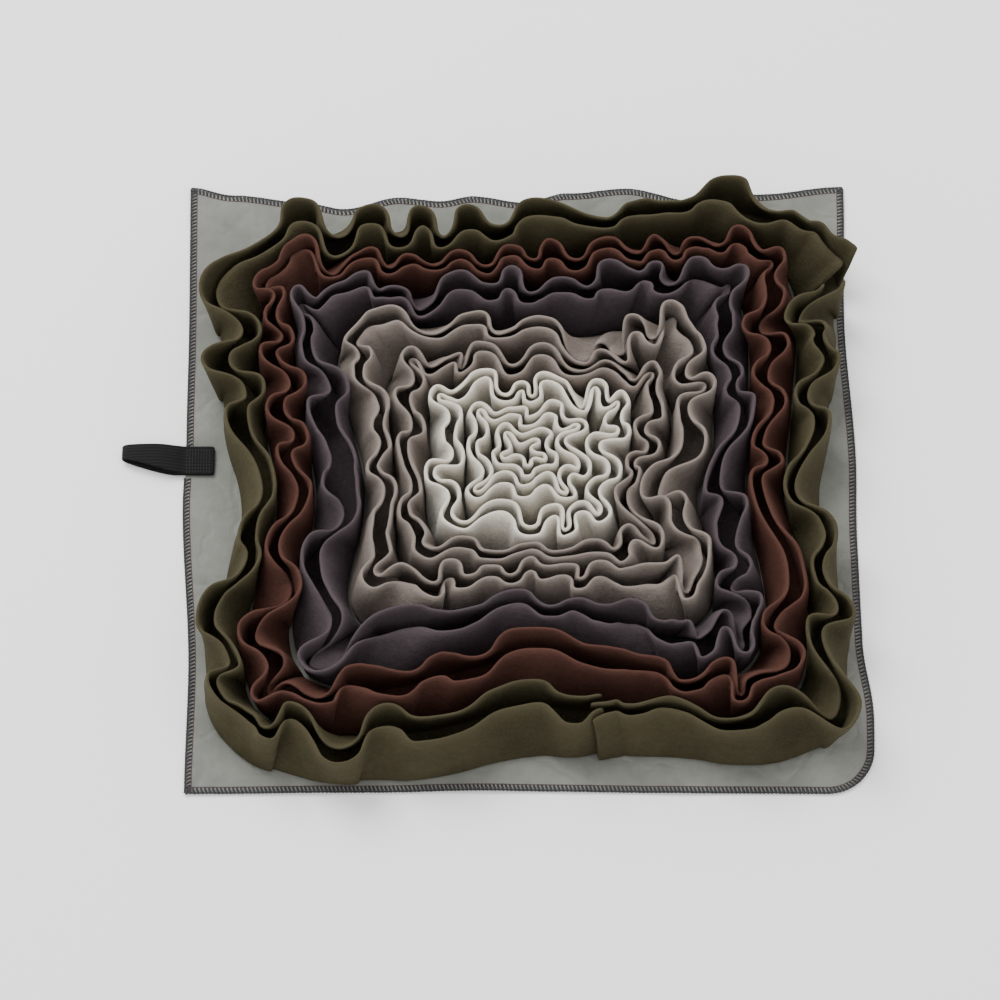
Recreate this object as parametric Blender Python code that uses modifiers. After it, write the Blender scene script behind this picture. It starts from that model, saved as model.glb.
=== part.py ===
# Snuffle mat: a square backing cloth carrying rings of fleece ruffle, with a webbing hang loop.
# Each ruffle is one fleece strip sewn down along its middle, so that both of its wings stand up
# as a channel. Frame: X to the right, Y away, Z up, origin under the middle of the mat.

import bpy
import bmesh
import math
import numpy as np

MM = 0.001

# Driving dimensions, in millimetres
BACKING_THICK = 1.6
FLEECE_THICK = 2.2
WEBBING_THICK = 1.4
AIR = 0.3                    # between pieces that touch
WING = 42.0                  # from a ruffle's foot to its rim, along the cloth
LEAST_RISE = 0.62            # the lowest rim, as a share of the wing
SEAM_GAP = 4.6               # between the feet on the two sides of a seam, middle to middle
STATIONS = 3                 # cross-sections between a crest and the next trough
RIM_CLEAR = 5.4              # between neighbouring rims, middle to middle
ROUNDS = 160                 # of pressing the rims apart
CORNER_RADIUS = 30.0         # the one rounded corner of the backing

BACKING_TOP = BACKING_THICK
FOOT_Z = BACKING_TOP + AIR + FLEECE_THICK / 2


def table(text):
    """Rows of numbers under named columns."""
    head, *rows = [line.split() for line in text.strip().splitlines()]
    return [dict(zip(head, map(float, row))) for row in rows]


# The folds of each ruffle, one row for each, clockwise: where the outer rim's crest and the trough
# after it stand, and how far inside them the inner rim stands.
OLIVE = table("""
crest_x crest_y trough_x trough_y open
  214  133   179  104   14
  199   93   196   84    8
  207   69   182   40   10
  199   26   171  -26   10
  200  -57   189  -88    8
  211 -119   186 -128   12
  211 -197   166 -179   15
  140 -201    93 -181   10
   68 -187    55 -183    8
   29 -195     6 -178   20
  -69 -209   -92 -192   18
 -122 -223  -152 -186   11
 -168 -206  -181 -191    8
 -206 -167  -189 -153    7
 -214 -118  -179  -79   14
 -187  -62  -171  -26   14
 -198   31  -181   48   16
 -215   70  -184   90   20
 -220  124  -170  163   15
 -158  191  -128  156   18
 -105  183   -84  157   12
  -70  181   -53  156   13
  -38  183   -18  167   24
    7  191    56  172   17
   78  187   106  184   14
  142  209   162  181   22
  190  173   202  166   10
  226  151   220  142   12
""")
RUST = table("""
crest_x crest_y trough_x trough_y open
 -180  128  -163  144   12
 -150  161  -126  130    7
 -107  150   -92  137    8
  -80  147   -62  138    9
  -45  150   -26  136    7
  -10  156     6  140    9
   16  157    34  140   13
   55  160    77  145    7
   91  157   104  145    8
  119  160   131  154    9
  152  169   160  150   10
  176  150   169  130   10
  177  117   156   94   14
  177   83   158   59   14
  170   43   150   10   10
  167   -5   153  -18   10
  184  -98   161 -125   14
  184 -150   150 -168   12
  144 -183   130 -157   10
  107 -178    84 -156   10
   60 -158    -2 -138   16
  -41 -167   -60 -159   20
  -89 -175  -121 -159   18
 -140 -181  -158 -169    8
 -177 -178  -163 -152   12
 -183 -135  -146  -95    9
 -167  -70  -144  -30    8
 -161    1  -147   11    8
 -170   35  -151   53    9
 -177   76  -159   86   12
 -173  102  -162  117   10
""")
PLUM = table("""
crest_x crest_y trough_x trough_y open
 -162  124  -142  113   10
 -114  135  -101  121   12
  -89  124   -70  108   12
  -47  139   -22  125   18
  -11  141     1  121   16
   27  135    45  125   14
   57  145    75  135   20
   88  144    95  124   14
  122  142   131  134    9
  150  138   136  110   12
  139   97   130   76   12
  146   60   142   46   10
  160   34   130  -30   12
  149  -40   137  -66   18
  148  -84   131  -96    7
  156 -112   149 -126    7
  148 -146   131 -122    9
  120 -147   108 -133   12
   95 -136    72 -116   12
   55 -121    33 -114   10
   17 -121    -2 -107   10
  -48 -131   -80 -121   14
 -147 -159  -124 -117    9
 -150  -74  -120  -48   16
 -135  -25  -129   -8   24
 -148   35  -131   50   22
 -156   82  -151   96   12
""")
TAUPE_OUTER = table("""
crest_x crest_y trough_x trough_y open
 -100  107   -60   86   12
  -35  101   -22   79   12
    6   92    36   62    7
   52   77    62   69    6
   77   99    86   86    8
  101  116   108   98    8
  119   82   104   57    7
  128   51   105   34    7
  120    8    84  -30   16
  106  -38   103  -50   12
  123  -70   117  -92    8
  110 -107    98  -83    8
   69  -93    48  -86    9
   36 -100    30  -88    7
   12  -92     3  -84    7
   -8  -97   -22  -88    7
  -41  -98   -48  -84    7
  -60 -105   -78  -88    9
 -104  -95   -93  -72   10
  -96  -50   -88  -30   12
 -101  -12   -92    6    8
  -99   22   -94   36    8
 -117   60  -109   72    7
 -119   86  -112   96    7
""")
TAUPE_INNER = table("""
crest_x crest_y trough_x trough_y open
  -82   74   -60   60    7
  -44   67   -38   57    6
  -26   78    -8   58    6
   14   76    34   54    6
   62   58    70   48    6
   88   62    84   46    6
   86   28    72   18    6
   88    2    72  -10    6
   83  -20    70  -30    6
   95  -68    72  -60    7
   70  -76    46  -70    6
   20  -78     4  -70    6
  -28  -76   -40  -66    6
  -72  -74   -72  -56    8
  -88  -40   -74  -24    8
  -86    8   -72   18    7
  -84   42   -70   52    6
""")
CREAM_OUTER = table("""
crest_x crest_y trough_x trough_y open
  -64   49   -46   48    5
  -26   69    -8   45    5
    4   54    10   42    5
   20   66    40   40    6
   49   60    55   40    6
   68   45    61   27    5
   73   17    50    5    7
   65  -16    48  -28    6
   56  -50    34  -42    6
   30  -64    22  -46    5
    3  -66   -14  -46    6
  -52  -62   -50  -34    8
  -71  -18   -46   -4    6
  -54   14   -48   26    5
""")
CREAM_MIDDLE = table("""
crest_x crest_y trough_x trough_y open
  -36   36   -22   26    5
   -6   34     2   22    5
   22   32    26   18    5
   44   18    24    8    6
   40  -14    24  -18    5
   28  -38    12  -24    5
   -2  -36   -12  -22    5
  -38  -36   -26  -16    6
  -38    4   -30   16    5
""")
CREAM_CORE = table("""
crest_x crest_y trough_x trough_y open
  -16   18    -6   10    4
   12   17     8    4    4
   20   -6     6   -8    4
    2  -18    -6   -8    4
  -20   -8   -12    2    4
""")

# Each ring from the outside in: its folds, its colour, how square it runs round, and how full it is
OLIVE_GREEN, RUST_RED, PLUM_GREY = (0.075, 0.062, 0.03), (0.115, 0.038, 0.022), (0.082, 0.065, 0.07)
TAUPE_BROWN, CREAM_WHITE = (0.26, 0.22, 0.18), (0.58, 0.55, 0.47)
RINGS = [
    dict(name="olive_ruffle", folds=OLIVE, color=OLIVE_GREEN, square=6.0, flank=1.0),
    dict(name="rust_ruffle", folds=RUST, color=RUST_RED, square=6.0, flank=1.0),
    dict(name="plum_ruffle", folds=PLUM, color=PLUM_GREY, square=5.0, flank=1.0),
    dict(name="taupe_ruffle_outer", folds=TAUPE_OUTER, color=TAUPE_BROWN, square=4.0, flank=1.0),
    dict(name="taupe_ruffle_inner", folds=TAUPE_INNER, color=TAUPE_BROWN, square=3.0, flank=0.9),
    dict(name="cream_ruffle_outer", folds=CREAM_OUTER, color=CREAM_WHITE, square=2.6, flank=1.1),
    dict(name="cream_ruffle_middle", folds=CREAM_MIDDLE, color=CREAM_WHITE, square=2.4, flank=0.9),
    dict(name="cream_ruffle_core", folds=CREAM_CORE, color=CREAM_WHITE, square=2.2, flank=1.1),
]
# The seams between the rings from the outside in: where each runs, how square it is, and how far the
# feet on either side of it follow the folds of their rims
SEAMS = table("""
at     square  follow
203.0  6.0     0.60
179.5  6.0     0.80
153.0  5.5     0.80
121.5  4.5     0.80
 94.0  3.5     0.80
 69.0  2.8     0.80
 44.0  2.5     0.80
 22.0  2.3     0.80
  6.0  2.2     0.80
""")
# The olive ring is two lengths, whose ends stand at the last fold's crest and at this fold's trough
OLIVE_SEAM_FOLD = 8

# How far each edge of the backing is drawn in, at places along it, seen clockwise
EDGE_TOP = table("""
along inward
 -200   6
 -150  12
 -124  17
  -86   8
  -57  11
  -35   7
    0  12
   30   5
   70   1
  116  11
  160   6
""")
EDGE_RIGHT = table("""
along inward
  110   4
   15   1
  -45   3
 -120   3
 -172  -2
""")
EDGE_BOTTOM = table("""
along inward
  120   0.5
  -20   2
 -130   0.5
""")
EDGE_LEFT = table("""
along inward
 -140   2
  -20  -3
   28  -1
  118   0
""")
CORNERS = dict(north_west=(-229, 221), north_east=(219, 222), south_east=(226, -227), south_west=(-221, -227))

# The webbing of the hang loop from its end on the margin, round the eye and back, with its width there
HANG_LOOP = table("""
x      y     z     width
-207.5 11.8  2.6   21
-228   11.8  2.6   21
-236   12.1  1.5   20
-246   13.2  1.0   17.5
-258   15.0  1.0   13.5
-266   16.3  2.0   11
-269   16.6  4.8   10
-266   16.3  7.8   11
-256   14.8  9.3   14
-244   13.0  9.2   18
-234   12.0  6.6   20
-226   11.8  4.4   21
-207.5 11.8  4.35  21
""")


def reach(point, square):
    """How far out a point lies, as half the width of the rounded square through it."""
    return (abs(point[0]) ** square + abs(point[1]) ** square) ** (1 / square)


def clockwise(point, square):
    """The way round the mat at this point, along its rounded square."""
    out = np.array([math.copysign(abs(v) ** (square - 1), v) for v in point])
    out /= np.linalg.norm(out)
    return np.array([out[1], -out[0]])


def meander(turns, square, flank):
    """A closed curve that runs clockwise through each turn and swings from one to the next."""
    points = []
    for here, there in zip(turns, turns[1:] + turns[:1]):
        swing = np.linalg.norm(there - here) * flank
        leave, arrive = clockwise(here, square) * swing, clockwise(there, square) * swing
        for step in range(STATIONS):
            t = step / STATIONS
            points.append((2 * t**3 - 3 * t**2 + 1) * here + (t**3 - 2 * t**2 + t) * leave
                          + (3 * t**2 - 2 * t**3) * there + (t**3 - t**2) * arrive)
    return np.array(points)


def ring_rims(ring):
    """The outer and the inner rim of a ruffle, seen from above."""
    square = ring["square"]
    outer, inner = [], []
    for fold in ring["folds"]:
        for turn, share in (("crest", 1.0), ("trough", 0.8)):
            point = np.array([fold[turn + "_x"], fold[turn + "_y"]])
            outer.append(point)
            inner.append(point * (1 - share * fold["open"] / reach(point, square)))
    return [meander(outer, square, ring["flank"]), meander(inner, square, ring["flank"])]


def feet_of(rims):
    """The line that each wing stands on: its rim drawn towards the seam it is sewn beside."""
    feet = []
    for k, seam in enumerate(SEAMS):
        sides = [(i, side) for i, side in ((2 * k - 1, 1), (2 * k, -1)) if 0 <= i < len(rims)]
        outs = [np.array([reach(p, seam["square"]) for p in rims[i]]) for i, _ in sides]
        middle = np.concatenate(outs).mean()
        for (i, side), out in zip(sides, outs):
            foot = seam["at"] + side * SEAM_GAP / 2 + seam["follow"] * (out - middle)
            feet.append(rims[i] * (foot / out)[:, None])
    return feet


def nearest(points, curve):
    """For each point, the nearest place on the closed curve, its distance, and whether the curve holds it."""
    a, b = curve, np.roll(curve, -1, 0)
    run = b - a
    t = np.clip(((points[:, None] - a) * run).sum(-1) / np.maximum((run * run).sum(-1), 1e-9), 0, 1)
    on = a + t[..., None] * run
    far = np.linalg.norm(points[:, None] - on, axis=-1)
    pick = np.arange(len(points)), far.argmin(1)
    x, y = points[:, :1], points[:, 1:]
    rise = np.where(run[:, 1] == 0, 1e-9, run[:, 1])
    crossed = ((a[:, 1] > y) != (b[:, 1] > y)) & (x < run[:, 0] * (y - a[:, 1]) / rise + a[:, 0])
    return on[pick], far[pick], crossed.sum(1) % 2 == 1


def push_between(outer, inner, clear):
    """How the points of two nested curves move where the inner one comes too near, or crosses out."""
    pushes = []
    for points, other, held in ((outer, inner, False), (inner, outer, True)):
        on, far, inside = nearest(points, other)
        side = np.where(inside == held, 1, -1)
        need = np.clip(clear - side * far, 0, clear)
        pushes.append((0.5 * need * side / np.maximum(far, 1e-6))[:, None] * (points - on))
    return pushes


def push_within(curve, clear):
    """How a curve's own folds move where two of them come too near."""
    steps = np.linalg.norm(np.roll(curve, -1, 0) - curve, axis=1)
    along = np.concatenate([[0], np.cumsum(steps)[:-1]])
    apart = np.abs(along[:, None] - along)
    apart = np.minimum(apart, steps.sum() - apart)
    away = curve[:, None] - curve
    far = np.linalg.norm(away, axis=-1)
    tight = (apart > 2.2 * clear) & (far < 1.1 * clear)
    weight = np.where(tight, (1.1 * clear - far) / np.maximum(far, 1e-6), 0)
    return 0.3 * (weight[..., None] * away).sum(1)


def press_apart(curves, clear, rounds):
    """Nested curves, from the outside in, after each has made room for its neighbours."""
    shifts = [np.zeros_like(c) for c in curves]
    for _ in range(rounds):
        now = [c + s for c, s in zip(curves, shifts)]
        pushes = [push_within(c, clear) for c in now]
        for k in range(len(now) - 1):
            for side, push in enumerate(push_between(now[k], now[k + 1], clear)):
                pushes[k + side] += push
        for k, push in enumerate(pushes):
            size = np.linalg.norm(push, axis=1, keepdims=True)
            s = shifts[k] + push * np.minimum(1, 0.5 * clear / np.maximum(size, 1e-9))
            shifts[k] = 0.5 * s + 0.25 * (np.roll(s, 1, 0) + np.roll(s, -1, 0))
    return [c + s for c, s in zip(curves, shifts)]


def wing_rise(rim, foot):
    """Height of each point of the rim above its foot: the wing keeps its width, so it leans lower."""
    lean = np.linalg.norm(rim - foot, axis=1)
    return np.sqrt(np.maximum(WING**2 - lean**2, (LEAST_RISE * WING) ** 2))


def channel_rows(rim_out, foot_out, foot_in, rim_in):
    """The cross-sections of a ruffle, each as four points: outer rim, outer foot, inner foot, inner rim."""
    level = np.full(len(rim_out), FOOT_Z)
    lines = [(rim_out, FOOT_Z + wing_rise(rim_out, foot_out)), (foot_out, level),
             (foot_in, level), (rim_in, FOOT_Z + wing_rise(rim_in, foot_in))]
    return np.stack([np.column_stack([line, z]) for line, z in lines], axis=1)


def material(name, color, roughness):
    mat = bpy.data.materials.new(name)
    mat.use_nodes = True
    shader = mat.node_tree.nodes["Principled BSDF"]
    shader.inputs["Base Color"].default_value = (*color, 1)
    shader.inputs["Roughness"].default_value = roughness
    shader.inputs["Metallic"].default_value = 0
    return mat


def cloth(name, rows, closed, thick, mat, home):
    """A sheet through rows of points, given its thickness to both sides."""
    mesh = bpy.data.meshes.new(name)
    bm = bmesh.new()
    grid = [[bm.verts.new(p * MM) for p in row] for row in rows]
    pairs = list(zip(grid, grid[1:])) + ([(grid[-1], grid[0])] if closed else [])
    for row, after in pairs:
        for k in range(len(row) - 1):
            bm.faces.new((row[k], row[k + 1], after[k + 1], after[k]))
    bmesh.ops.recalc_face_normals(bm, faces=bm.faces)
    bm.to_mesh(mesh)
    bm.free()
    obj = bpy.data.objects.new(name, mesh)
    home.objects.link(obj)
    obj.data.materials.append(mat)
    shell = obj.modifiers.new("Thickness", "SOLIDIFY")
    shell.thickness = thick * MM
    shell.offset = 0
    shell.use_rim = True
    return obj


def side_points(start, end, rows, axis):
    """One edge of the backing from corner to corner, drawn in by its table's rows."""
    start, end = np.array(start, float), np.array(end, float)
    inward = np.array([end[1] - start[1], start[0] - end[0]])
    inward /= np.linalg.norm(inward)
    places = [((row["along"] - start[axis]) / (end[axis] - start[axis]), row["inward"]) for row in rows]
    knots = [(0.0, 0.0)] + places + [(1.0, 0.0)]
    points = []
    for (t0, d0), (t1, d1) in zip(knots, knots[1:]):
        for step in range(3):
            f = step / 3
            ease = f * f * (3 - 2 * f)
            t = t0 + (t1 - t0) * f
            points.append(start + (end - start) * t + inward * (d0 + (d1 - d0) * ease))
    return points


def rounded(points, corner, radius):
    """The outline with its square corner replaced by an arc."""
    centre = corner + radius * np.array([-1, 1])
    kept = [p for p in points if not (p[0] > centre[0] and p[1] < centre[1])]
    after = next(i for i, p in enumerate(kept) if p[1] <= corner[1] + radius / 2)
    arc = [centre + radius * np.array([math.cos(a), -math.sin(a)])
           for a in np.linspace(0.1, math.pi / 2 - 0.1, 6)]
    return kept[:after] + arc + kept[after:]


def backing(home):
    nw, ne, se, sw = (np.array(CORNERS[k], float) for k in ("north_west", "north_east", "south_east",
                                                            "south_west"))
    outline = (side_points(nw, ne, EDGE_TOP, 0) + side_points(ne, se, EDGE_RIGHT, 1)
               + side_points(se, sw, EDGE_BOTTOM, 0) + side_points(sw, nw, EDGE_LEFT, 1))
    outline = rounded(outline, se, CORNER_RADIUS)
    curve = bpy.data.curves.new("backing", "CURVE")
    curve.dimensions = "2D"
    curve.fill_mode = "BOTH"
    curve.extrude = BACKING_THICK / 2 * MM
    spline = curve.splines.new("POLY")
    spline.points.add(len(outline) - 1)
    for place, p in zip(spline.points, outline):
        place.co = (p[0] * MM, p[1] * MM, 0, 1)
    spline.use_cyclic_u = True
    obj = bpy.data.objects.new("backing", curve)
    obj.location.z = BACKING_THICK / 2 * MM
    obj.data.materials.append(material("grey_backing", (0.33, 0.34, 0.32), 0.85))
    home.objects.link(obj)


def hang_loop(home):
    rows = []
    for spot in HANG_LOOP:
        half = spot["width"] / 2
        rows.append([np.array([spot["x"], spot["y"] + side * half, spot["z"]]) for side in (-1, 1)])
    cloth("hang_loop", rows, False, WEBBING_THICK, material("black_webbing", (0.017, 0.017, 0.017), 0.7), home)


def olive_lengths(rows, mat, home):
    """The outer ring's two strips, each from one cut end to the other."""
    seam = (2 * OLIVE_SEAM_FOLD + 1) * STATIONS
    last_crest = 2 * (len(OLIVE) - 1) * STATIONS
    start = rows[seam] + 0.3 * (rows[seam + 1] - rows[seam])
    cloth("olive_ruffle_right", rows[:seam + 1], False, FLEECE_THICK, mat, home)
    cloth("olive_ruffle_left", [start, *rows[seam + 1:last_crest + 1]], False, FLEECE_THICK, mat, home)


def ruffles(home):
    rims = press_apart([rim for ring in RINGS for rim in ring_rims(ring)], RIM_CLEAR, ROUNDS)
    feet = feet_of(rims)
    for k, ring in enumerate(RINGS):
        rows = channel_rows(rims[2 * k], feet[2 * k], feet[2 * k + 1], rims[2 * k + 1])
        mat = material(ring["name"] + "_fleece", ring["color"], 0.95)
        if ring["folds"] is OLIVE:
            olive_lengths(rows, mat, home)
        else:
            cloth(ring["name"], rows, True, FLEECE_THICK, mat, home)


def main():
    for obj in list(bpy.data.objects):
        bpy.data.objects.remove(obj, do_unlink=True)
    home = bpy.data.collections.new("snuffle_mat")
    bpy.context.scene.collection.children.link(home)
    backing(home)
    hang_loop(home)
    ruffles(home)


main()
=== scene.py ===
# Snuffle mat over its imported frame: a grey backing cloth with an overlocked edge, rings of ruffled
# fleece sewn on from the outside in, and a webbing hang loop. Z is up and the mat lies at z = 0.
# The scene is in metres, the tables and the shapes made from them in millimetres.
import math

import bpy
import bmesh
import numpy as np
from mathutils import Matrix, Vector, noise


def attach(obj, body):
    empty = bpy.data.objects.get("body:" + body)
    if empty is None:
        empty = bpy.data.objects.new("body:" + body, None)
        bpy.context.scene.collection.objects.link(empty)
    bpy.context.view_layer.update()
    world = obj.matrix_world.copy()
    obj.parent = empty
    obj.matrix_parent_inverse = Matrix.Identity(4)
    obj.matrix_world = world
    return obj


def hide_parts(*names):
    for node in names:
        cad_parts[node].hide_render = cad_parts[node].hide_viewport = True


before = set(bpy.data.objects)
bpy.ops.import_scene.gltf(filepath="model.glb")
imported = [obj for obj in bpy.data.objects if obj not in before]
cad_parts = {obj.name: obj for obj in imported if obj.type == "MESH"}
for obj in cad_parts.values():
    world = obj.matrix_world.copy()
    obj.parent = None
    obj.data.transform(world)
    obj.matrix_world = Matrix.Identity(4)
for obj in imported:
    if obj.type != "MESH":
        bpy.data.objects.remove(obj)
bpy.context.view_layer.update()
mm = 0.001

# the drift that the ruffles are given is drawn from this seed, so it is the same each run
noise.seed_set(3)
print("frame loaded:", len(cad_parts), "nodes")

# camera: the photo looks down at the mat from its near side
camera = dict(target=(-0.0166, -0.0155, 0.0), distance=3.219, elevation=64.48, lens=173.65,
              sensor=36, farthest=20)
bpy.ops.object.camera_add()
photoCamera = bpy.context.object
photoCamera.name = "photoCamera"
tilt = math.radians(camera["elevation"])
photoCamera.location = (camera["target"][0],
                        camera["target"][1] - camera["distance"] * math.cos(tilt),
                        camera["target"][2] + camera["distance"] * math.sin(tilt))
photoCamera.rotation_euler = (math.pi / 2 - tilt, 0, 0)
photoCamera.data.lens = camera["lens"]
photoCamera.data.sensor_width = camera["sensor"]
photoCamera.data.clip_end = camera["farthest"]
bpy.context.scene.camera = photoCamera

# pale floor and soft light, brightest from the far left
studio = dict(floorSize=12, floorColour=(0.93, 0.93, 0.93), skyColour=(1, 1, 1), skyStrength=1.5,
              lampEnergy=85, lampSize=1.6, lampPlace=(-1.1, 1.3, 2.4))
bpy.ops.mesh.primitive_plane_add(size=studio["floorSize"], location=(0, 0, 0))
floor = bpy.context.object
floor.name = "floor"
bpy.ops.object.light_add(type="AREA", location=studio["lampPlace"])
lamp = bpy.context.object
lamp.name = "softLamp"
lamp.data.energy = studio["lampEnergy"]
lamp.data.size = studio["lampSize"]
x, y, z = studio["lampPlace"]
lamp.rotation_euler = (math.atan2(math.hypot(x, y), z), 0, math.atan2(y, x) + math.pi / 2)
world = bpy.data.worlds.new("studioSky")
bpy.context.scene.world = world
world.use_nodes = True
sky = world.node_tree.nodes["Background"]
sky.inputs["Color"].default_value = (*studio["skyColour"], 1)
sky.inputs["Strength"].default_value = studio["skyStrength"]
print("camera and light set")


# shader maths: a socket that can be added to, taken from and multiplied
class Val:
    def __init__(self, mat, socket):
        self.mat, self.socket = mat, socket

    def math(self, operation, *values):
        return self.mat.node("Math", {"operation": operation}, dict(enumerate(values)))

    def __add__(self, other): return self.math("ADD", self, other)
    def __sub__(self, other): return self.math("SUBTRACT", self, other)
    def __rsub__(self, other): return self.math("SUBTRACT", other, self)
    def __mul__(self, other): return self.math("MULTIPLY", self, other)
    def __abs__(self): return self.math("ABSOLUTE", self)


class Finish:
    def __init__(self, name, roughness, specular, sheen=0.0, sheenTint=(1, 1, 1)):
        self.material = bpy.data.materials.new(name)
        self.material.use_nodes = True
        self.tree = self.material.node_tree
        self.shader = self.tree.nodes["Principled BSDF"]
        self.shader.inputs["Roughness"].default_value = roughness
        self.shader.inputs["Specular IOR Level"].default_value = specular
        self.shader.inputs["Sheen Weight"].default_value = sheen
        self.shader.inputs["Sheen Roughness"].default_value = 0.5
        self.shader.inputs["Sheen Tint"].default_value = (*sheenTint, 1)

    def node(self, kind, settings=None, values=None, out=0):
        made = self.tree.nodes.new("ShaderNode" + kind)
        for key, value in (settings or {}).items():
            setattr(made, key, value)
        for key, value in (values or {}).items():
            self.feed(made.inputs[key], value)
        return Val(self, made.outputs[out])

    def feed(self, socket, value):
        if isinstance(value, Val):
            self.tree.links.new(value.socket, socket)
        elif isinstance(value, tuple) and socket.type == "RGBA":
            socket.default_value = (*value, 1)
        else:
            socket.default_value = value

    def where(self, layer=None):
        # the object's own coordinates, or a UV layer of the piece
        if layer:
            return self.node("UVMap", {"uv_map": layer})
        return self.node("TexCoord", out="Object")

    def noise(self, place, scale, detail, roughness=0.5):
        return self.node("TexNoise", values={"Vector": place, "Scale": scale, "Detail": detail,
                                             "Roughness": roughness})

    def bands(self, place, direction, scale, distortion):
        return self.node("TexWave", {"wave_type": "BANDS", "bands_direction": direction},
                         {"Vector": place, "Scale": scale, "Distortion": distortion})

    def between(self, value, low, high):
        return self.node("MapRange", values={"Value": value, "From Min": low, "From Max": high})

    def mix(self, share, first, second):
        # a Mix node takes its share at 0 and its colours at 6 and 7, and gives the colour at 2
        return self.node("Mix", {"data_type": "RGBA"}, {0: share, 6: first, 7: second}, out=2)

    def surface(self, colour, height, depth, strength):
        self.feed(self.shader.inputs["Base Color"], colour)
        bump = self.node("Bump", values={"Strength": strength, "Distance": depth, "Height": height})
        self.feed(self.shader.inputs["Normal"], bump)


def tint(colour, times, plus=0.0):
    return tuple(min(1, times * c + plus) for c in colour)


floorFinish = Finish("paleFloor", 0.9, specular=0.1)
floorFinish.feed(floorFinish.shader.inputs["Base Color"], studio["floorColour"])
floor.data.materials.append(floorFinish.material)

# short-napped cloth: a felted pile, tufts, faint patches, and a painted highlight along the rims,
# where the fuzzy cut edge catches the light
nap = dict(pile=750, tufts=240, patches=28, wear=0.25, fuzz=0.5, rimHighlight=0.8, depth=0.0016)


def fleece(name, colour):
    mat = Finish(name, 0.95, specular=0.12, sheen=0.35, sheenTint=tint(colour, 3))
    place = mat.where()
    pile = mat.noise(place, nap["pile"], detail=4, roughness=0.7)
    tufts = mat.noise(place, nap["tufts"], detail=3, roughness=0.6)
    patches = mat.noise(place, nap["patches"], detail=3)
    rim = mat.node("Attribute", {"attribute_name": "rim"}, out="Fac")
    dark, pale = tint(colour, 1 - nap["wear"]), tint(colour, 1 + nap["wear"], 0.004)
    cloth = mat.mix(mat.between(patches, 0.35, 0.65), dark, pale)
    cloth = mat.mix(mat.between(tufts, 0.35, 0.65) * nap["fuzz"], cloth, dark)
    cloth = mat.mix(mat.between(pile, 0.42, 0.62) * nap["fuzz"], cloth, tint(colour, 1.5, 0.004))
    # painted highlight: the rims are painted paler, as if their fuzzy cut edge catches the light
    cloth = mat.mix(rim * nap["rimHighlight"], cloth, tint(colour, 1.7, 0.008))
    mat.surface(cloth, pile * 0.6 + tufts * 0.8, nap["depth"], strength=0.8)
    return mat.material


def readTable(text):
    head, *rows = [line.split() for line in text.strip().splitlines()]
    return [dict(zip(head, map(float, row))) for row in rows]


def addObject(name, bm, material):
    bmesh.ops.recalc_face_normals(bm, faces=bm.faces)
    mesh = bpy.data.meshes.new(name)
    bm.to_mesh(mesh)
    bm.free()
    mesh.materials.append(material)
    made = bpy.data.objects.new(name, mesh)
    bpy.context.scene.collection.objects.link(made)
    return made


def finishWith(obj, *modifiers):
    bpy.ops.object.select_all(action="DESELECT")
    bpy.context.view_layer.objects.active = obj
    obj.select_set(True)
    for kind, settings in modifiers:
        made = obj.modifiers.new(kind.title(), kind)
        for key, value in settings.items():
            setattr(made, key, value)
        bpy.ops.object.modifier_apply(modifier=made.name)
    bpy.ops.object.shade_smooth()


def clothSheet(name, rows, closed, thickness, material):
    # rows of points with the rim mark as fourth number, stitched into one sheet with its thickness
    bm = bmesh.new()
    mark = bm.verts.layers.float.new("rim")
    grid = []
    for row in rows:
        grid.append([bm.verts.new(Vector(point[:3]) * mm) for point in row])
        for vert, point in zip(grid[-1], row):
            vert[mark] = point[3]
    for row, after in list(zip(grid, grid[1:])) + ([(grid[-1], grid[0])] if closed else []):
        for k in range(len(row) - 1):
            bm.faces.new((row[k], row[k + 1], after[k + 1], after[k]))
    sheet = addObject(name, bm, material)
    finishWith(sheet, ("SOLIDIFY", dict(thickness=thickness * mm, offset=0, use_rim=True)),
               ("SUBSURF", dict(levels=1, render_levels=1)))
    return sheet


# how the strips are cut and folded: a pair of wings leans together at the rims and stands on feet
# that are wide apart, close beside the next ruffle's
ruffleCut = dict(wing=42, leastRise=0.62, leastTurn=0.05, bow=0.3, footHeight=3.6, thickness=2.8,
                 levels=(0, 0.06, 0.2, 0.4, 0.6, 0.8, 1), under=(0.06, 0.94), steps=4, finer=2,
                 clear=4.5, rounds=160, tightFold=7, troughGape=0.8, seamGap=3.2, evenness=0.22,
                 wander=2.4, wanderScale=0.045, pleat=2, pleatScale=0.075, rimSharp=6)

# where one rim's own folds come near each other, in shares of the room that rims are given
ownRoom = dict(apart=2.2, gap=1.1, push=0.3)


def reachOf(points, square):
    return (np.abs(points) ** square).sum(-1) ** (1 / square)


def wayRound(point, square):
    out = np.array([math.copysign(abs(v) ** (square - 1), v) for v in point])
    out /= np.linalg.norm(out)
    return np.array([out[1], -out[0]])


def meander(turns, square, flank):
    # a closed line that swings round every turn, clockwise about the mat
    steps, points = ruffleCut["steps"], []
    for here, there in zip(turns, turns[1:] + turns[:1]):
        swing = np.linalg.norm(there - here) * flank
        leave, arrive = wayRound(here, square) * swing, wayRound(there, square) * swing
        for t in np.arange(steps) / steps:
            points.append((2 * t**3 - 3 * t**2 + 1) * here + (t**3 - 2 * t**2 + t) * leave
                          + (3 * t**2 - 2 * t**3) * there + (t**3 - t**2) * arrive)
    return np.array(points)


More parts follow.
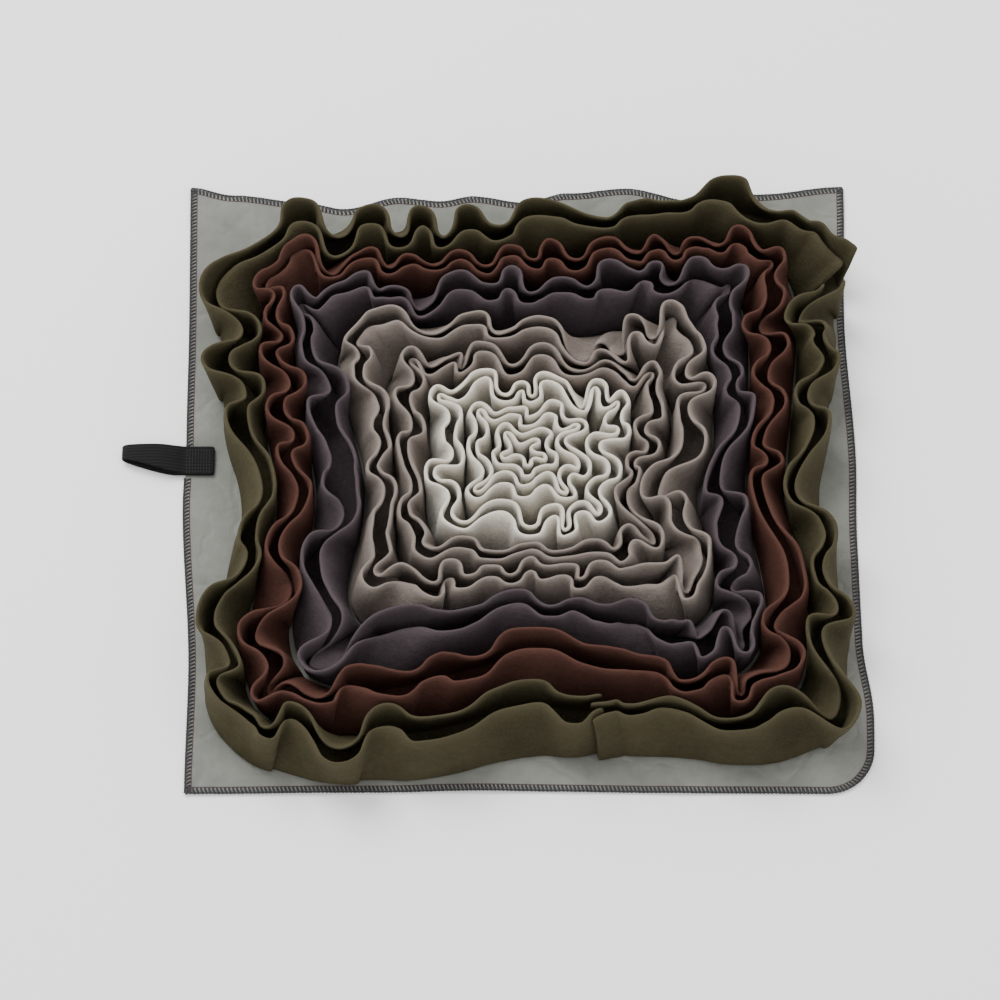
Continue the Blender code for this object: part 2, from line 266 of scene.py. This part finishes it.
def ruffleRims(ruffle):
    # the outer rim runs round the table's turns, the inner one inside it where the fold opens
    square, outer, inner = ruffle["square"], [], []
    for fold in ruffle["folds"]:
        for turn, share in (("crest", 1.0), ("trough", ruffleCut["troughGape"])):
            point = np.array([fold[turn + "_x"], fold[turn + "_y"]])
            outer.append(point)
            gape = ruffleCut["clear"] + max(0.0, share * fold["open"] - ruffleCut["tightFold"])
            inner.append(point * (1 - gape / reachOf(point, square)))
    return [meander(outer, square, ruffle["flank"]), meander(inner, square, ruffle["flank"])]


def nearest(points, curve):
    # for each point: the closest place on the closed curve, how far it is, and whether it's inside
    run = np.roll(curve, -1, 0) - curve
    t = ((points[:, None] - curve) * run).sum(-1) / np.maximum((run * run).sum(-1), 1e-9)
    on = curve + np.clip(t, 0, 1)[..., None] * run
    far = np.linalg.norm(points[:, None] - on, axis=-1)
    pick = np.arange(len(points)), far.argmin(1)
    x, y = points[:, :1], points[:, 1:]
    rise = np.where(run[:, 1] == 0, 1e-9, run[:, 1])
    crossed = ((curve[:, 1] > y) != (np.roll(curve, -1, 0)[:, 1] > y)) & (
        x < run[:, 0] * (y - curve[:, 1]) / rise + curve[:, 0])
    return on[pick], far[pick], crossed.sum(1) % 2 == 1


def ownFolds(curve, clear):
    # folds of one rim push each other apart
    steps = np.linalg.norm(np.roll(curve, -1, 0) - curve, axis=1)
    along = np.concatenate([[0], np.cumsum(steps)[:-1]])
    apart = np.abs(along[:, None] - along)
    apart = np.minimum(apart, steps.sum() - apart)
    away = curve[:, None] - curve
    far, gap = np.linalg.norm(away, axis=-1), ownRoom["gap"] * clear
    tight = (apart > ownRoom["apart"] * clear) & (far < gap)
    push = np.where(tight, (gap - far) / np.maximum(far, 1e-6), 0)
    return ownRoom["push"] * (push[..., None] * away).sum(1)


def makeRoom(curves, clear, rounds):
    # nested rims lean on each other until each has its own room
    shifts = [np.zeros_like(c) for c in curves]
    for _ in range(rounds):
        now = [c + s for c, s in zip(curves, shifts)]
        pushes = [ownFolds(c, clear) for c in now]
        for k in range(len(now) - 1):
            for points, other, within, push in ((now[k], now[k + 1], False, pushes[k]),
                                                (now[k + 1], now[k], True, pushes[k + 1])):
                on, far, inside = nearest(points, other)
                way = np.where(inside == within, 1, -1)
                need = np.clip(clear - way * far, 0, clear)
                push += (0.5 * need * way / np.maximum(far, 1e-6))[:, None] * (points - on)
        for k, push in enumerate(pushes):
            # a step of half the room at most, evened out along the rim
            size = np.linalg.norm(push, axis=1, keepdims=True)
            s = shifts[k] + push * np.minimum(1, 0.5 * clear / np.maximum(size, 1e-9))
            shifts[k] = 0.5 * s + 0.25 * (np.roll(s, 1, 0) + np.roll(s, -1, 0))
    return [c + s for c, s in zip(curves, shifts)]


def finer(curve, steps):
    # a round spline that is drawn along by the settled points
    a, b, c, d = (np.roll(curve, k, 0) for k in (1, 0, -1, -2))
    rows = [((1 - t)**3 * a + (3 * t**3 - 6 * t**2 + 4) * b + (1 + 3 * t + 3 * t**2 - 3 * t**3) * c
             + t**3 * d) / 6 for t in np.arange(steps) / steps]
    return np.stack(rows, 1).reshape(-1, 2)


def usualReach(rim, square, angles):
    # how far out a rim runs on the whole in each of these directions, its folds evened out
    turns = np.angle(np.exp(1j * (angles[:, None] - np.arctan2(rim[:, 1], rim[:, 0]))))
    weights = np.exp(-((turns / ruffleCut["evenness"]) ** 2))
    return (weights * reachOf(rim, square)).sum(1) / weights.sum(1)


# the seams from the outside in: how square each is, how far it runs beyond the usual line of its
# rims and how much more on the near side, and how far the feet beside it follow the folds
seams = readTable("""
square  beyond  near  follow
6.0      6      9     0.12
6.0      0      2     0
5.5      0      2     0
4.5      0      2     0
3.5      0      0     0
2.8      0      0     0
2.5      0      0     0.40
2.3      0      0     0.50
2.2     -4      0     0.60
""")


def feetOf(rims):
    # each wing stands beside a seam that runs midway between two ruffles' rims
    feet = []
    for k, seam in enumerate(seams):
        sides = [(i, side) for i, side in ((2 * k - 1, 1), (2 * k, -1)) if 0 <= i < len(rims)]
        lines = []
        for i, side in sides:
            outs = reachOf(rims[i], seam["square"])
            angles = np.arctan2(rims[i][:, 1], rims[i][:, 0])
            usual = [usualReach(rims[j], seam["square"], angles) for j, _ in sides]
            own = usual[0] if i == sides[0][0] else usual[-1]
            foot = np.mean(usual, 0) + seam["beyond"] + side * ruffleCut["seamGap"] / 2
            foot += seam["near"] * np.clip(-np.sin(angles), 0, 1) ** 2
            lines.append(rims[i] * ((foot + seam["follow"] * (outs - own)) / outs)[:, None])
        if seam["follow"] and len(lines) == 2:
            lines = makeRoom(lines, ruffleCut["seamGap"], ruffleCut["rounds"] // 2)
        feet += lines
    return feet


def wingRows(rim, foot):
    # a wing leaves the backing upright, in soft pleats, and bows over towards its rim
    wing, bow = ruffleCut["wing"], ruffleCut["bow"]
    lean = np.linalg.norm(rim - foot, axis=1)
    rise = np.sqrt(np.maximum(wing**2 - lean**2, (ruffleCut["leastRise"] * wing) ** 2))
    turn = np.maximum(2 * np.arctan2(lean, rise), ruffleCut["leastTurn"])
    outward = foot / np.linalg.norm(foot, axis=1, keepdims=True)
    depths = [noise.noise(Vector((*spot, 0)) * ruffleCut["pleatScale"]) for spot in foot]
    pleats = outward * np.array(depths)[:, None] * ruffleCut["pleat"]
    rows = []
    for t in ruffleCut["levels"]:
        out = bow * (1 - np.cos(turn * t)) / (1 - np.cos(turn)) + (1 - bow) * t
        up = bow * np.sin(turn * t) / np.sin(turn) + (1 - bow) * t
        # a pleat is at its full depth a third of the way up
        depth = 27 / 4 * t * (1 - t) ** 2
        plan = foot + (rim - foot) * out[:, None] + pleats * depth
        height = ruffleCut["footHeight"] + rise * up
        rows.append(np.column_stack([plan, height, np.full(len(rim), t)]))
    return rows


def wander(point, level):
    # hand-gathered cloth is never quite even: a slow drift that grows towards the rim
    spot = Vector(point) * ruffleCut["wanderScale"]
    drift = noise.noise_vector(spot) + 0.5 * noise.noise_vector(spot * 3.1)
    return Vector(point) + drift * ruffleCut["wander"] * level


# the ruffles from the outside in, one row a fold: where the outer rim's crest and the trough after
# it stand, and how far inside them the inner rim stands
oliveRuffle = dict(nodes=("olive_ruffle_right", "olive_ruffle_left"), slot="olive_fleece",
                   square=6.0, flank=1.65, folds=readTable("""
crest_x crest_y trough_x trough_y open
  214  133   179  104   14
  199   93   196   84    8
  207   69   182   40   10
  199   26   171  -26   10
  200  -57   189  -88    8
  211 -119   186 -128   12
  211 -197   166 -179   15
  140 -201    93 -181   10
   68 -187    55 -183    8
   29 -195     6 -178   20
  -69 -209   -92 -192   18
 -122 -223  -152 -186   11
 -168 -206  -181 -191    8
 -206 -167  -189 -153    7
 -214 -118  -179  -79   14
 -187  -62  -171  -26   14
 -198   31  -181   48   16
 -215   70  -184   90   20
 -220  124  -170  163   15
 -158  191  -128  156   18
 -105  183   -84  157   12
  -70  181   -53  156   13
  -38  183   -18  167   24
    7  191    56  172   17
   78  187   106  184   14
  142  209   162  181   22
  190  173   202  166   10
  226  151   220  142   12
"""))
rustRuffle = dict(nodes=("rust_ruffle",), slot="rust_fleece", square=6.0, flank=1.7,
                  folds=readTable("""
crest_x crest_y trough_x trough_y open
 -180  128  -163  144   12
 -150  161  -126  130    7
 -107  150   -92  137    8
  -80  147   -62  138    9
  -45  150   -26  136    7
  -10  156     6  140    9
   16  157    34  140   13
   55  160    77  145    7
   91  157   104  145    8
  119  160   131  154    9
  152  169   160  150   10
  176  150   169  130   10
  177  117   156   94   14
  177   83   158   59   14
  170   43   150   10   10
  167   -5   153  -18   10
  184  -98   161 -125   14
  184 -150   150 -168   12
  144 -183   130 -157   10
  107 -178    84 -156   10
   60 -158    -2 -138   16
  -41 -167   -60 -159   20
  -89 -175  -121 -159   18
 -140 -181  -158 -169    8
 -177 -178  -163 -152   12
 -183 -135  -146  -95    9
 -167  -70  -144  -30    8
 -161    1  -147   11    8
 -170   35  -151   53    9
 -177   76  -159   86   12
 -173  102  -162  117   10
"""))
plumRuffle = dict(nodes=("plum_ruffle",), slot="plum_fleece", square=5.0, flank=1.7,
                  folds=readTable("""
crest_x crest_y trough_x trough_y open
 -162  124  -142  113   10
 -114  135  -101  121   12
  -89  124   -70  108   12
  -47  139   -22  125   18
  -11  141     1  121   16
   27  135    45  125   14
   57  145    75  135   20
   88  144    95  124   14
  122  142   131  134    9
  150  138   136  110   12
  139   97   130   76   12
  146   60   142   46   10
  160   34   130  -30   12
  149  -40   137  -66   18
  148  -84   131  -96    7
  156 -112   149 -126    7
  148 -146   131 -122    9
  120 -147   108 -133   12
   95 -136    72 -116   12
   55 -121    33 -114   10
   17 -121    -2 -107   10
  -48 -131   -80 -121   14
 -147 -159  -124 -117    9
 -150  -74  -120  -48   16
 -135  -25  -129   -8   24
 -148   35  -131   50   22
 -156   82  -151   96   12
"""))
taupeOuter = dict(nodes=("taupe_ruffle_outer",), slot="taupe_fleece", square=4.0, flank=1.8,
                  folds=readTable("""
crest_x crest_y trough_x trough_y open
 -100  107   -60   86   12
  -35  101   -22   79   12
    6   92    36   62    7
   52   77    62   69    6
   77   99    86   86    8
  101  116   108   98    8
  119   82   104   57    7
  128   51   105   34    7
  120    8    84  -30   16
  106  -38   103  -50   12
  123  -70   117  -92    8
  110 -107    98  -83    8
   69  -93    48  -86    9
   36 -100    30  -88    7
   12  -92     3  -84    7
   -8  -97   -22  -88    7
  -41  -98   -48  -84    7
  -60 -105   -78  -88    9
 -104  -95   -93  -72   10
  -96  -50   -88  -30   12
 -101  -12   -92    6    8
  -99   22   -94   36    8
 -117   60  -109   72    7
 -119   86  -112   96    7
"""))
taupeInner = dict(nodes=("taupe_ruffle_inner",), slot="taupe_fleece", square=3.0, flank=1.8,
                  folds=readTable("""
crest_x crest_y trough_x trough_y open
  -82   74   -60   60    7
  -44   67   -38   57    6
  -26   78    -8   58    6
   14   76    34   54    6
   62   58    70   48    6
   88   62    84   46    6
   86   28    72   18    6
   88    2    72  -10    6
   83  -20    70  -30    6
   95  -68    72  -60    7
   70  -76    46  -70    6
   20  -78     4  -70    6
  -28  -76   -40  -66    6
  -72  -74   -72  -56    8
  -88  -40   -74  -24    8
  -86    8   -72   18    7
  -84   42   -70   52    6
"""))
creamOuter = dict(nodes=("cream_ruffle_outer",), slot="cream_fleece", square=2.6, flank=1.95,
                  folds=readTable("""
crest_x crest_y trough_x trough_y open
  -64   49   -46   48    5
  -26   69    -8   45    5
    4   54    10   42    5
   20   66    40   40    6
   49   60    55   40    6
   68   45    61   27    5
   73   17    50    5    7
   65  -16    48  -28    6
   56  -50    34  -42    6
   30  -64    22  -46    5
    3  -66   -14  -46    6
  -52  -62   -50  -34    8
  -71  -18   -46   -4    6
  -54   14   -48   26    5
"""))
creamMiddle = dict(nodes=("cream_ruffle_middle",), slot="cream_fleece", square=2.4, flank=1.8,
                   folds=readTable("""
crest_x crest_y trough_x trough_y open
  -36   36   -22   26    5
   -6   34     2   22    5
   22   32    26   18    5
   44   18    24    8    6
   40  -14    24  -18    5
   28  -38    12  -24    5
   -2  -36   -12  -22    5
  -38  -36   -26  -16    6
  -38    4   -30   16    5
"""))
creamCore = dict(nodes=("cream_ruffle_core",), slot="cream_fleece", square=2.2, flank=1.7,
                 folds=readTable("""
crest_x crest_y trough_x trough_y open
  -16   18    -6   10    4
   12   17     8    4    4
   20   -6     6   -8    4
    2  -18    -6   -8    4
  -20   -8   -12    2    4
"""))
ruffles = [oliveRuffle, rustRuffle, plumRuffle, taupeOuter, taupeInner, creamOuter, creamMiddle,
           creamCore]
fleeceColours = dict(olive_fleece=(0.029, 0.0245, 0.0115), rust_fleece=(0.038, 0.0145, 0.0098),
                     plum_fleece=(0.036, 0.027, 0.0305), taupe_fleece=(0.12, 0.1, 0.087),
                     cream_fleece=(0.4, 0.37, 0.315))

# the olive ring's two lengths meet after this fold on the near side, and how they lap there
lap = dict(fold=8, over=3, rows=7, out=3.5, inwards=3)


def oliveLengths(rows):
    # the near end of the right length laps in front of the left one's
    perTurn = ruffleCut["steps"] * ruffleCut["finer"]
    seam = (2 * lap["fold"] + 1) * perTurn + 1
    last = 2 * (len(oliveRuffle["folds"]) - 1) * perTurn + 1
    right, left = rows[:seam + lap["over"]].copy(), rows[seam:last].copy()
    right[-lap["rows"]:, :, 1] -= lap["out"] * np.linspace(0, 1, lap["rows"])[:, None]
    left[:lap["rows"], :, 1] += lap["inwards"] * np.linspace(1, 0, lap["rows"])[:, None]
    return right, left


def camelName(node):
    first, *others = node.split("_")
    return first + "".join(word.title() for word in others)


def sewRuffle(node, rows, ruffle, material):
    rows = [[(*wander(p[:3], p[3]), p[3] ** ruffleCut["rimSharp"]) for p in row] for row in rows]
    length = sum(math.dist(a[0][:2], b[0][:2]) for a, b in zip(rows, rows[1:])) * mm
    widths = [sum(math.dist(p[:3], q[:3]) for p, q in zip(row, row[1:])) for row in rows]
    sheet = clothSheet(camelName(node), rows, ruffle is not oliveRuffle, ruffleCut["thickness"],
                       material)
    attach(sheet, "root")
    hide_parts(node)


def sewRuffles():
    rims = makeRoom([rim for ruffle in ruffles for rim in ruffleRims(ruffle)],
                    ruffleCut["clear"], ruffleCut["rounds"])
    feet = [finer(line, ruffleCut["finer"]) for line in feetOf(rims)]
    rims = [finer(line, ruffleCut["finer"]) for line in rims]
    wings = [wingRows(rim, foot) for rim, foot in zip(rims, feet)]
    for ruffle, outside, inside in zip(ruffles, wings[::2], wings[1::2]):
        under = [outside[0] + (inside[0] - outside[0]) * share for share in ruffleCut["under"]]
        rows = np.stack(outside[::-1] + under + inside, axis=1)
        material = fleece(camelName(ruffle["slot"]), fleeceColours[ruffle["slot"]])
        lengths = oliveLengths(rows) if ruffle is oliveRuffle else [rows]
        for node, length in zip(ruffle["nodes"], lengths):
            sewRuffle(node, length, ruffle, material)


sewRuffles()
print("ruffles sewn")

# the backing: how far each edge is drawn in at places along it, seen clockwise; its margin is a
# little wavy and creased
backing = dict(thickness=1.6, colour=(0.182, 0.185, 0.166), side=450, squares=96, cornerRadius=30,
               margin=28, lift=2.2, waves=0.021, creaseLift=0.35, creases=(0.05, 0.035),
               creaseSharp=9, grain=900, clouds=16, creaseLines=((11, 0.03), (24, 0.05)),
               corners=dict(northWest=(-229, 221), northEast=(219, 222), southEast=(226, -227),
                            southWest=(-221, -227)),
               top=readTable("""
along inward
 -200   6
 -150  12
 -124  17
  -86   8
  -57  11
  -35   7
    0  12
   30   5
   70   1
  116  11
  160   6
"""), right=readTable("""
along inward
  110   4
   15   1
  -45   3
 -120   3
 -172  -2
"""),
               bottom=readTable("""
along inward
  120   0.5
  -20   2
 -130   0.5
"""), left=readTable("""
along inward
 -140   2
  -20  -3
   28  -1
  118   0
"""))


def edgeLine(start, end, rows, axis, count):
    # one edge from corner to corner, drawn in by its table's rows with soft bends between them
    start, end = np.array(start, float), np.array(end, float)
    inward = np.array([end[1] - start[1], start[0] - end[0]])
    inward /= np.linalg.norm(inward)
    places = [(row["along"] - start[axis]) / (end[axis] - start[axis]) for row in rows]
    knots, drawn = [0.0, *places, 1.0], [0.0, *[row["inward"] for row in rows], 0.0]
    points = []
    for t in np.linspace(0, 1, count):
        k = min(np.searchsorted(knots, t, side="right"), len(knots) - 1)
        f = (t - knots[k - 1]) / (knots[k] - knots[k - 1])
        ease = f * f * (3 - 2 * f)
        depth = drawn[k - 1] + (drawn[k] - drawn[k - 1]) * ease
        points.append(start + (end - start) * t + inward * depth)
    return np.array(points)


def backingPlan(count):
    # a square grid of points inside the four edges, with the near right corner rounded
    c = backing["corners"]
    top = edgeLine(c["northWest"], c["northEast"], backing["top"], 0, count)
    right = edgeLine(c["northEast"], c["southEast"], backing["right"], 1, count)
    bottom = edgeLine(c["southEast"], c["southWest"], backing["bottom"], 0, count)[::-1]
    left = edgeLine(c["southWest"], c["northWest"], backing["left"], 1, count)[::-1]
    u = np.linspace(0, 1, count)[None, :, None]
    v = np.linspace(0, 1, count)[:, None, None]
    plan = ((1 - v) * top[None] + v * bottom[None] + (1 - u) * left[:, None] + u * right[:, None]
            - (1 - u) * (1 - v) * top[0] - u * (1 - v) * top[-1] - (1 - u) * v * bottom[0]
            - u * v * bottom[-1])
    centre = np.array(c["southEast"]) + backing["cornerRadius"] * np.array([-1, 1])
    away = plan - centre
    corner = (away[..., 0] > 0) & (away[..., 1] < 0)
    longest = np.abs(away).max(-1)
    size = np.maximum(np.linalg.norm(away, axis=-1), 1e-9)
    plan[corner] = (centre + away * (longest / size)[..., None])[corner]
    return plan


def backingLift(x, y, inFrom):
    # how far the cloth lies off the floor at a place this far in from its edge
    alongX, alongY = backing["creases"]
    edge = max(0.0, 1 - inFrom / backing["margin"])
    wave = noise.noise(Vector((x * backing["waves"], y * backing["waves"], 3.7)))
    crease = abs(noise.noise(Vector((x * alongX, y * alongY, 9.1)))) * backing["creaseSharp"]
    return (max(0.0, wave) * backing["lift"] + backing["creaseLift"] * (1 - min(1, crease))) * edge


def backingFinish():
    # woven cloth with painted blotches of light and shade, and long soft creases from having been
    # folded up, painted paler along their lines as a painted highlight
    mat = Finish("greyBacking", 0.9, specular=0.15)
    place = mat.where()
    grain = mat.noise(place, backing["grain"], detail=3, roughness=0.7)
    cloud = mat.noise(place, backing["clouds"], detail=5, roughness=0.65)
    creases, wrinkles = (mat.between(abs(mat.noise(place, scale, detail=3) - 0.5), 0, width)
                         for scale, width in backing["creaseLines"])
    shadeAndGrain, lit = tint(backing["colour"], 0.74), tint(backing["colour"], 1.13)
    # painted light and shade: soft blotches mixed between a shaded and a lit copy of the grey
    cloth = mat.mix(mat.between(cloud, 0.34, 0.66), shadeAndGrain, lit)
    # the fine grain darkens the cloth a little, which is the weave's own tone
    cloth = mat.mix(mat.between(grain, 0.35, 0.7) * 0.3, cloth, shadeAndGrain)
    # painted highlight: the crease lines are painted paler, as if their ridges catch the light
    cloth = mat.mix((1 - creases) * 0.25, cloth, lit)
    mat.surface(cloth, grain * 0.3 + creases * 0.7 + wrinkles * 0.4, 0.0014, strength=0.6)
    return mat.material


def layBacking():
    last, square = backing["squares"], backing["side"] / backing["squares"]
    rows = []
    for i, line in enumerate(backingPlan(last + 1)):
        rows.append([])
        for j, (x, y) in enumerate(line):
            lift = backingLift(x, y, min(i, j, last - i, last - j) * square)
            rows[-1].append((x, y, backing["thickness"] / 2 + lift, 0.0))
    sheet = clothSheet("backingCloth", rows, False, backing["thickness"], backingFinish())
    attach(sheet, "root")
    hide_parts("backing")


layBacking()
print("backing laid")

# hang loop: the webbing from its end on the margin, round the eye and back, and the rows of close
# stitches that hold both its layers to the margin
strap = dict(centre=11.8, width=21, thickness=1.4, colour=(0.006, 0.006, 0.0063), steps=4, across=9,
             puff=0.5, puffBeyond=-232, puffOver=5, weave=20, path=readTable("""
x      y     z     width
-207.5 11.8  2.6   21
-228   11.8  2.6   21
-236   12.1  1.5   20
-246   13.2  1.0   17.5
-258   15.0  1.0   13.5
-266   16.3  2.0   11
-269   16.6  4.8   10
-266   16.3  7.8   11
-256   14.8  9.3   14
-244   13.0  9.2   18
-234   12.0  6.6   20
-226   11.8  4.4   21
-207.5 11.8  4.35  21
"""))
tack = dict(columns=(-226, -209, 1.9), rows=(-9, 9.1, 2.6), half=1.1, lean=0.12, top=5.15, wide=0.5,
            high=0.4)

# overlocked edge: slanted stitches round the backing's edge, the thread they lock with on the edge
# itself, and a needle line inside them; a stitch lies at these heights this far in from the edge
overlock = dict(pitch=2.6, reach=3.9, slant=1.5, threadWide=1.5, threadHigh=0.7,
                colour=(0.014, 0.013, 0.014), lockIn=0.1, lockWide=1.5, lockDrop=0.1,
                needleColour=(0.05, 0.024, 0.034), needleIn=4.1, needleWide=0.7, needleDrop=0.25,
                lineHigh=0.6, lineOver=0.2, look=2, strapEdge=-200,
                heights=((3.9, 0.15), (2.2, 0.3), (0.6, 0.3), (-0.1, -0.4), (-0.1, -1.2)))


def strapFinish():
    mat = Finish("blackWebbing", 0.8, specular=0.12)
    place = mat.where("weave")
    ribs, picks = mat.bands(place, "Y", 7.0, 0.4), mat.bands(place, "X", 26.0, 0.3)
    cloth = mat.mix(ribs * 0.5 + picks * 0.3, strap["colour"], tint(strap["colour"], 2.1, 0.004))
    mat.surface(cloth, ribs + picks * 0.6, 0.0005, strength=0.7)
    return mat.material


def sewStrap():
    spots = np.array([[row[key] for key in ("x", "y", "z", "width")] for row in strap["path"]])
    fine = []
    for k in range(len(spots) - 1):
        a, b, c, d = (spots[min(max(k + n, 0), len(spots) - 1)] for n in (-1, 0, 1, 2))
        for t in np.arange(strap["steps"]) / strap["steps"]:
            fine.append(0.5 * (2 * b + (c - a) * t + (2 * a - 5 * b + 4 * c - d) * t**2
                               + (3 * b - a - 3 * c + d) * t**3))
    fine.append(spots[-1])
    rows = []
    for x, y, z, width in fine:
        # the upper layer is a little arched where it leaves the margin
        puff = strap["puff"] * (x < strap["puffBeyond"]) * (z > strap["puffOver"])
        rows.append([(x, y + width * (t - 0.5), z + puff * math.sin(math.pi * t), 0.0)
                     for t in np.linspace(0, 1, strap["across"])])
    sheet = clothSheet("hangLoopStrap", rows, False, strap["thickness"], strapFinish())
    weave = sheet.data.uv_layers.new(name="weave")
    for loop in sheet.data.loops:
        x, y, _ = sheet.data.vertices[loop.vertex_index].co * strap["weave"]
        weave.data[loop.index].uv = (x, y)
    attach(sheet, "root")
    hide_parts("hang_loop")


# sewing thread: a stitch is a closed bar with this many sides, slimmer at both ends
thread = dict(sides=6, slim=0.7, twist=2600, twistDepth=0.0003)


def threadPiece(name, strips, colour):
    bm = bmesh.new()
    sides = range(thread["sides"])
    for path, wide, high in strips:
        rings = []
        for k, point in enumerate(path):
            ahead = path[min(k + 1, len(path) - 1)] - path[max(k - 1, 0)]
            side = ahead.cross(Vector((0, 0, 1)))
            side = side.normalized() if side.length > 1e-6 else Vector((1, 0, 0))
            up = side.cross(ahead).normalized()
            slim = thread["slim"] if k in (0, len(path) - 1) else 1.0
            turns = [2 * math.pi / len(sides) * n for n in sides]
            rings.append([bm.verts.new((point + side * (math.cos(a) * wide / 2 * slim)
                                        + up * (math.sin(a) * high / 2 * slim)) * mm)
                          for a in turns])
        for first, second in zip(rings, rings[1:]):
            for n in sides:
                after = (n + 1) % len(sides)
                bm.faces.new((first[n], first[after], second[after], second[n]))
        bm.faces.new(rings[0][::-1])
        bm.faces.new(rings[-1])
    mat = Finish(name + "Thread", 0.6, specular=0.3)
    twist = mat.noise(mat.where(), thread["twist"], detail=1)
    spun = mat.mix(mat.between(twist, 0.3, 0.7), colour, tint(colour, 1.9, 0.01))
    mat.surface(spun, twist, thread["twistDepth"], strength=0.6)
    stitches = addObject(name, bm, mat.material)
    finishWith(stitches)
    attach(stitches, "root")


def sewStrapDown():
    bars = []
    for x in np.arange(*tack["columns"]):
        for y in strap["centre"] + np.arange(*tack["rows"]):
            bar = [Vector((x + tack["lean"] * t, y + t, tack["top"] - tack["lean"] * t * t))
                   for t in (-tack["half"], 0, tack["half"])]
            bars.append((bar, tack["wide"], tack["high"]))
    threadPiece("strapStitches", bars, tint(strap["colour"], 1.6))


def edgeWalk(pitch):
    # evenly spaced places round the backing's edge: place, way along, way in
    plan = backingPlan(backing["squares"] * 2 + 1)
    ring = np.concatenate([plan[0, :-1], plan[:-1, -1], plan[-1, :0:-1], plan[:0:-1, 0]])
    steps = np.linalg.norm(np.roll(ring, -1, 0) - ring, axis=1)
    along = np.concatenate([[0], np.cumsum(steps)])
    closed = np.vstack([ring, ring[:1]])
    count = int(along[-1] / pitch)
    for s in (np.arange(count) + 0.5) * along[-1] / count:
        here, before, after = (
            np.array([np.interp((s + d) % along[-1], along, closed[:, k]) for k in (0, 1)])
            for d in (0, -overlock["look"], overlock["look"]))
        way = (after - before) / np.linalg.norm(after - before)
        yield here, way, np.array([way[1], -way[0]])


def overBacking(spot, inFrom, height):
    x, y = spot
    return Vector((x, y, backing["thickness"] + backingLift(x, y, inFrom) + height))


def sewEdge():
    bars, needles = [], []
    lines = ((bars, overlock["lockIn"], overlock["lockWide"], overlock["lockDrop"]),
             (needles, overlock["needleIn"], overlock["needleWide"], overlock["needleDrop"]))
    for here, way, inward in edgeWalk(overlock["pitch"]):
        underStrap = abs(here[1] - strap["centre"]) < strap["width"] / 2 + 1
        if here[0] < overlock["strapEdge"] and underStrap:
            continue
        bar = []
        for inFrom, height in overlock["heights"]:
            aside = overlock["slant"] * (inFrom / overlock["reach"] - 0.5)
            bar.append(overBacking(here + inward * inFrom + way * aside, max(0, inFrom), height))
        bars.append((bar, overlock["threadWide"], overlock["threadHigh"]))
        for strips, inFrom, wide, drop in lines:
            line = [overBacking(here + inward * inFrom + way * overlock["pitch"] * t, inFrom,
                                overlock["lineOver"] - abs(t) * drop) for t in (-0.5, 0, 0.5)]
            strips.append((line, wide, overlock["lineHigh"]))
    threadPiece("overlockStitches", bars, overlock["colour"])
    threadPiece("needleLine", needles, overlock["needleColour"])


sewStrap()
sewStrapDown()
sewEdge()
print("strap and edge sewn")
